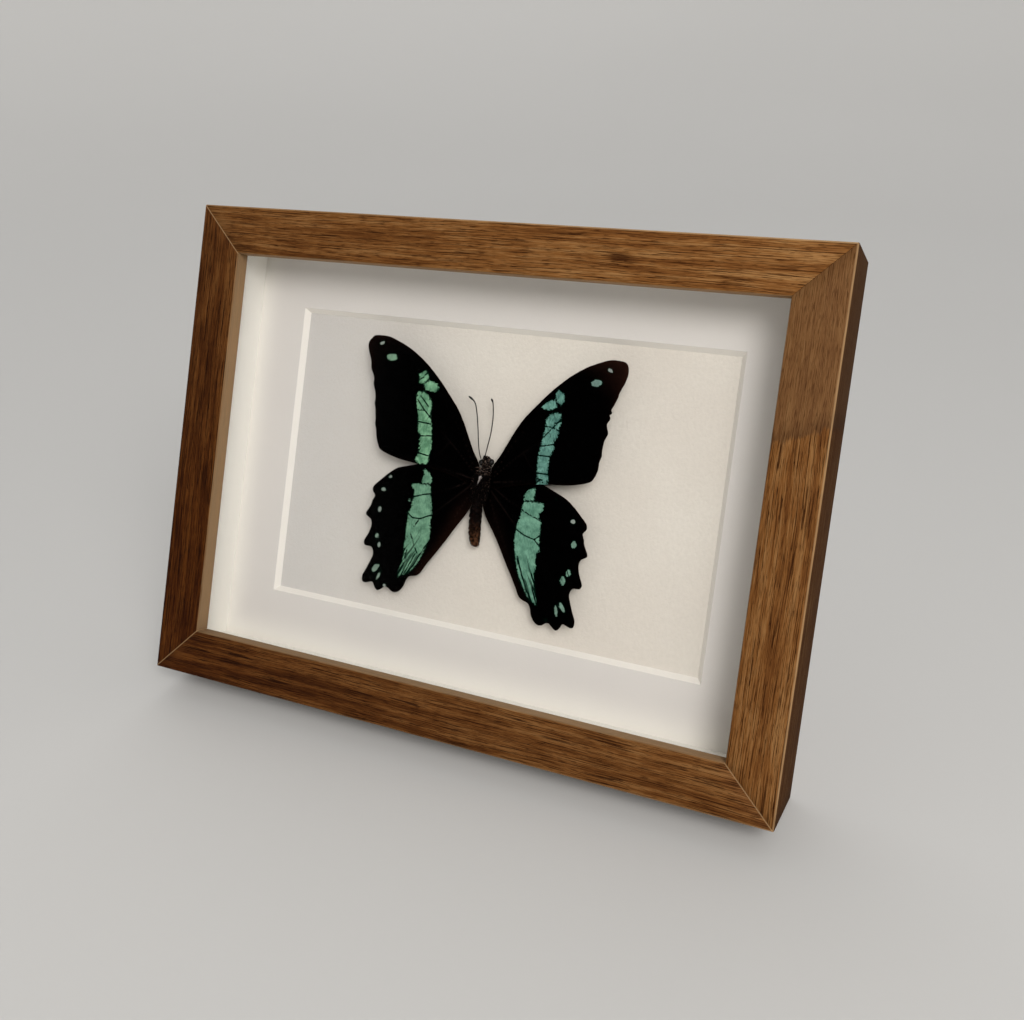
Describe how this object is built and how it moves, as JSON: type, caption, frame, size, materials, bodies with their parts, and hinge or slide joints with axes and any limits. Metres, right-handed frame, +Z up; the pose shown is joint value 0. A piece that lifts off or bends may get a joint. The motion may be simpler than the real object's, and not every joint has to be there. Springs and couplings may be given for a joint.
{
  "type": "framed butterfly specimen",
  "caption": "Deep wooden box frame with glass and a bevelled mat, holding a spread swallowtail butterfly with blue-green wing bands; it leans back on a hinged easel strut.",
  "frame": {"origin": "on the table, in the middle of the ground that the standing frame and its open strut cover", "axes": "+X to the viewer's right along the frame, +Y away from the viewer towards the strut, +Z up; the frame itself leans back 18 degrees about X"},
  "size_m": [0.2, 0.0896, 0.1518],
  "materials": {
    "walnut": "satin open-grained brown wood",
    "glass": "clear float glass",
    "white_card": "matt off-white card",
    "board_paper": "matt off-white textured paper on a light core",
    "wing_scales": "velvety black wing scales with blue-green bands",
    "body_hair": "dark brown hair over a dried body",
    "hardboard": "dark brown hardboard",
    "steel": "nickel-plated sheet steel"
  },
  "bodies": {
    "frame": {"rail_top": "walnut", "rail_bottom": "walnut", "rail_left": "walnut", "rail_right": "walnut", "glass": "glass", "spacer_top": "white_card", "spacer_bottom": "white_card", "spacer_left": "white_card", "spacer_right": "white_card", "mat": "white_card", "mount_board": "board_paper", "mounting_pad": "white_card", "butterfly_body": "body_hair", "forewing_left": "wing_scales", "forewing_right": "wing_scales", "hindwing_left": "wing_scales", "hindwing_right": "wing_scales", "antenna_left": "body_hair", "antenna_right": "body_hair", "back_panel": "hardboard", "button_screw_bottom_left": "steel", "button_screw_bottom_right": "steel", "button_screw_top_left": "steel", "button_screw_top_right": "steel", "hinge_bracket": "steel", "hinge_pin": "steel", "bracket_screw_left": "steel", "bracket_screw_right": "steel"},
    "strut": {"strut": "hardboard", "hinge_leaf": "steel", "leaf_screw_left": "steel", "leaf_screw_right": "steel"},
    "button_bottom_left": {"turn_button_bottom_left": "steel"},
    "button_bottom_right": {"turn_button_bottom_right": "steel"},
    "button_top_left": {"turn_button_top_left": "steel"},
    "button_top_right": {"turn_button_top_right": "steel"}
  },
  "joints": [
    {"name": "strut_fold", "type": "hinge", "parent": "frame", "child": "strut", "pos_m": [0, 0.02144, 0.10547], "axis": [1, 0, 0], "range_deg": [-30, 0]},
    {"name": "button_bottom_left_swivel", "type": "hinge", "parent": "frame", "child": "button_bottom_left", "pos_m": [-0.06, -0.0148, 0.00395], "axis": [0, 0.9511, -0.309], "range_deg": [-90, 90]},
    {"name": "button_bottom_right_swivel", "type": "hinge", "parent": "frame", "child": "button_bottom_right", "pos_m": [0.06, -0.0148, 0.00395], "axis": [0, 0.9511, -0.309], "range_deg": [-90, 90]},
    {"name": "button_top_left_swivel", "type": "hinge", "parent": "frame", "child": "button_top_left", "pos_m": [-0.06, 0.02892, 0.13852], "axis": [0, 0.9511, -0.309], "range_deg": [-90, 90]},
    {"name": "button_top_right_swivel", "type": "hinge", "parent": "frame", "child": "button_top_right", "pos_m": [0.06, 0.02892, 0.13852], "axis": [0, 0.9511, -0.309], "range_deg": [-90, 90]}
  ]
}
